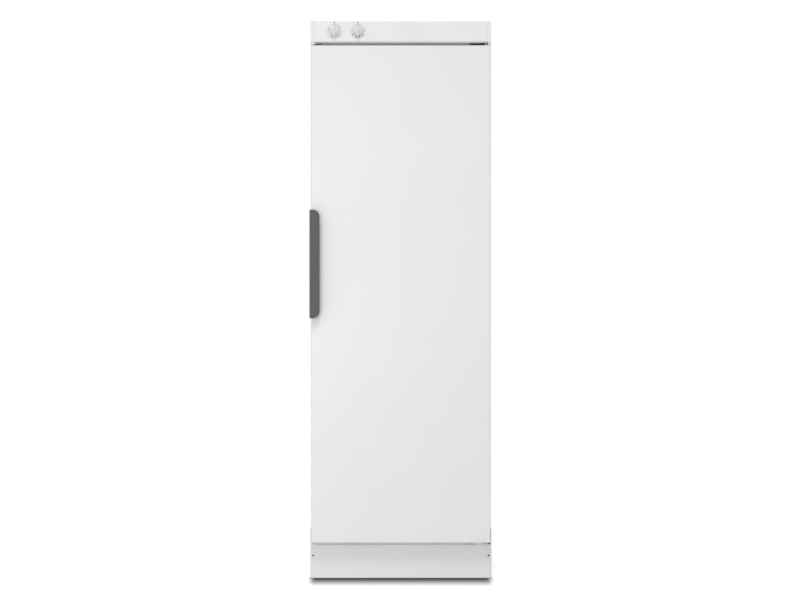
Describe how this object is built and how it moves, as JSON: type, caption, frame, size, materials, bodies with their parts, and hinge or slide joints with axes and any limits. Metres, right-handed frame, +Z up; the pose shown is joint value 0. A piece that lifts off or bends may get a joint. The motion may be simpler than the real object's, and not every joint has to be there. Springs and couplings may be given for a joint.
{
  "type": "drying cabinet",
  "caption": "Tall free-standing cabinet that dries clothes: right-hung door with an edge grip, dials in the strip above it, plinth, fold-up hanging racks, and a heated blower over the chamber.",
  "frame": {"origin": "on the floor under the middle of the cabinet, with the door closed and the feet screwed in", "axes": "+X to the right of someone facing the door, -Y out of the door towards them, +Z up"},
  "size_m": [0.6004, 0.64, 1.8703],
  "materials": {
    "white_enamel": "satin",
    "plinth_enamel": "satin",
    "white_plastic": "satin",
    "knob_plastic": "satin",
    "grey_plastic": "satin",
    "dark_plastic": "matte",
    "gasket_rubber": "matte",
    "zinc_steel": "satin",
    "dark_steel": "satin",
    "rack_enamel": "satin",
    "heater_steel": "satin",
    "foot_plastic": "matte"
  },
  "bodies": {
    "cabinet": {"side_panel_left": "white_enamel", "side_panel_right": "white_enamel", "top_panel": "white_enamel", "chamber_floor": "white_enamel", "chamber_ceiling": "white_enamel", "top_front_rail": "white_enamel", "bottom_front_rail": "white_enamel", "plinth_front": "plinth_enamel", "plinth_side_left": "plinth_enamel", "plinth_side_right": "plinth_enamel", "control_fascia": "white_plastic", "fascia_end_cap_left": "white_plastic", "fascia_end_cap_right": "white_plastic", "air_grille": "white_plastic", "door_sensor": "dark_plastic", "timer_unit": "dark_plastic", "selector_unit": "dark_plastic", "thermostat": "dark_plastic", "back_panel": "zinc_steel", "base_rail_front": "zinc_steel", "base_rail_rear": "zinc_steel", "top_hinge_pin": "zinc_steel", "bottom_hinge_pin": "zinc_steel", "control_bracket": "zinc_steel", "fan_housing": "zinc_steel", "fan_inlet_plate": "zinc_steel", "heater_frame": "zinc_steel", "exhaust_duct": "zinc_steel", "exhaust_collar": "zinc_steel", "top_hinge_plate": "dark_steel", "bottom_hinge_plate": "dark_steel", "fan_motor": "dark_steel", "rack_post_left": "rack_enamel", "rack_post_right": "rack_enamel", "rack_upper": "rack_enamel", "heater_element": "heater_steel"},
    "door": {"door_skin": "white_enamel", "door_liner": "white_plastic", "door_stiffener": "zinc_steel", "door_gasket": "gasket_rubber", "door_cap_top": "white_plastic", "door_cap_bottom": "white_plastic", "hinge_bush_top": "knob_plastic", "hinge_bush_bottom": "knob_plastic", "handle": "grey_plastic", "glove_rack": "rack_enamel"},
    "impeller": {"fan_impeller": "zinc_steel"},
    "timer_dial": {"timer_knob": "knob_plastic", "timer_shaft": "zinc_steel"},
    "selector_dial": {"selector_knob": "knob_plastic", "selector_shaft": "zinc_steel"},
    "middle_rack": {"rack_middle": "rack_enamel"},
    "lower_rack": {"rack_lower": "rack_enamel"},
    "foot_front_left": {"levelling_foot_front_left": "foot_plastic"},
    "foot_front_right": {"levelling_foot_front_right": "foot_plastic"},
    "foot_rear_left": {"levelling_foot_rear_left": "foot_plastic"},
    "foot_rear_right": {"levelling_foot_rear_right": "foot_plastic"}
  },
  "joints": [
    {"name": "door_hinge", "type": "hinge", "parent": "cabinet", "child": "door", "pos_m": [0.281, -0.27, 0.94], "axis": [0, 0, 1], "range_deg": [0, 115]},
    {"name": "timer_turn", "type": "hinge", "parent": "cabinet", "child": "timer_dial", "pos_m": [-0.219, -0.29, 1.8076], "axis": [0, 1, 0], "range_deg": [0, 300]},
    {"name": "selector_turn", "type": "hinge", "parent": "cabinet", "child": "selector_dial", "pos_m": [-0.142, -0.29, 1.8076], "axis": [0, 1, 0], "range_deg": [0, 270]},
    {"name": "fan_spin", "type": "hinge", "parent": "cabinet", "child": "impeller", "pos_m": [-0.12, 0.02, 1.7316], "axis": [1, 0, 0], "continuous": true},
    {"name": "middle_rack_fold", "type": "hinge", "parent": "cabinet", "child": "middle_rack", "pos_m": [0, 0.2727, 1.08], "axis": [-1, 0, 0], "range_deg": [0, 85]},
    {"name": "lower_rack_fold", "type": "hinge", "parent": "cabinet", "child": "lower_rack", "pos_m": [0, 0.2727, 0.625], "axis": [-1, 0, 0], "range_deg": [0, 85]},
    {"name": "foot_front_left_screw", "type": "slide", "parent": "cabinet", "child": "foot_front_left", "axis": [0, 0, -1], "range_m": [0, 0.02]},
    {"name": "foot_front_right_screw", "type": "slide", "parent": "cabinet", "child": "foot_front_right", "axis": [0, 0, -1], "range_m": [0, 0.02]},
    {"name": "foot_rear_left_screw", "type": "slide", "parent": "cabinet", "child": "foot_rear_left", "axis": [0, 0, -1], "range_m": [0, 0.02]},
    {"name": "foot_rear_right_screw", "type": "slide", "parent": "cabinet", "child": "foot_rear_right", "axis": [0, 0, -1], "range_m": [0, 0.02]}
  ]
}
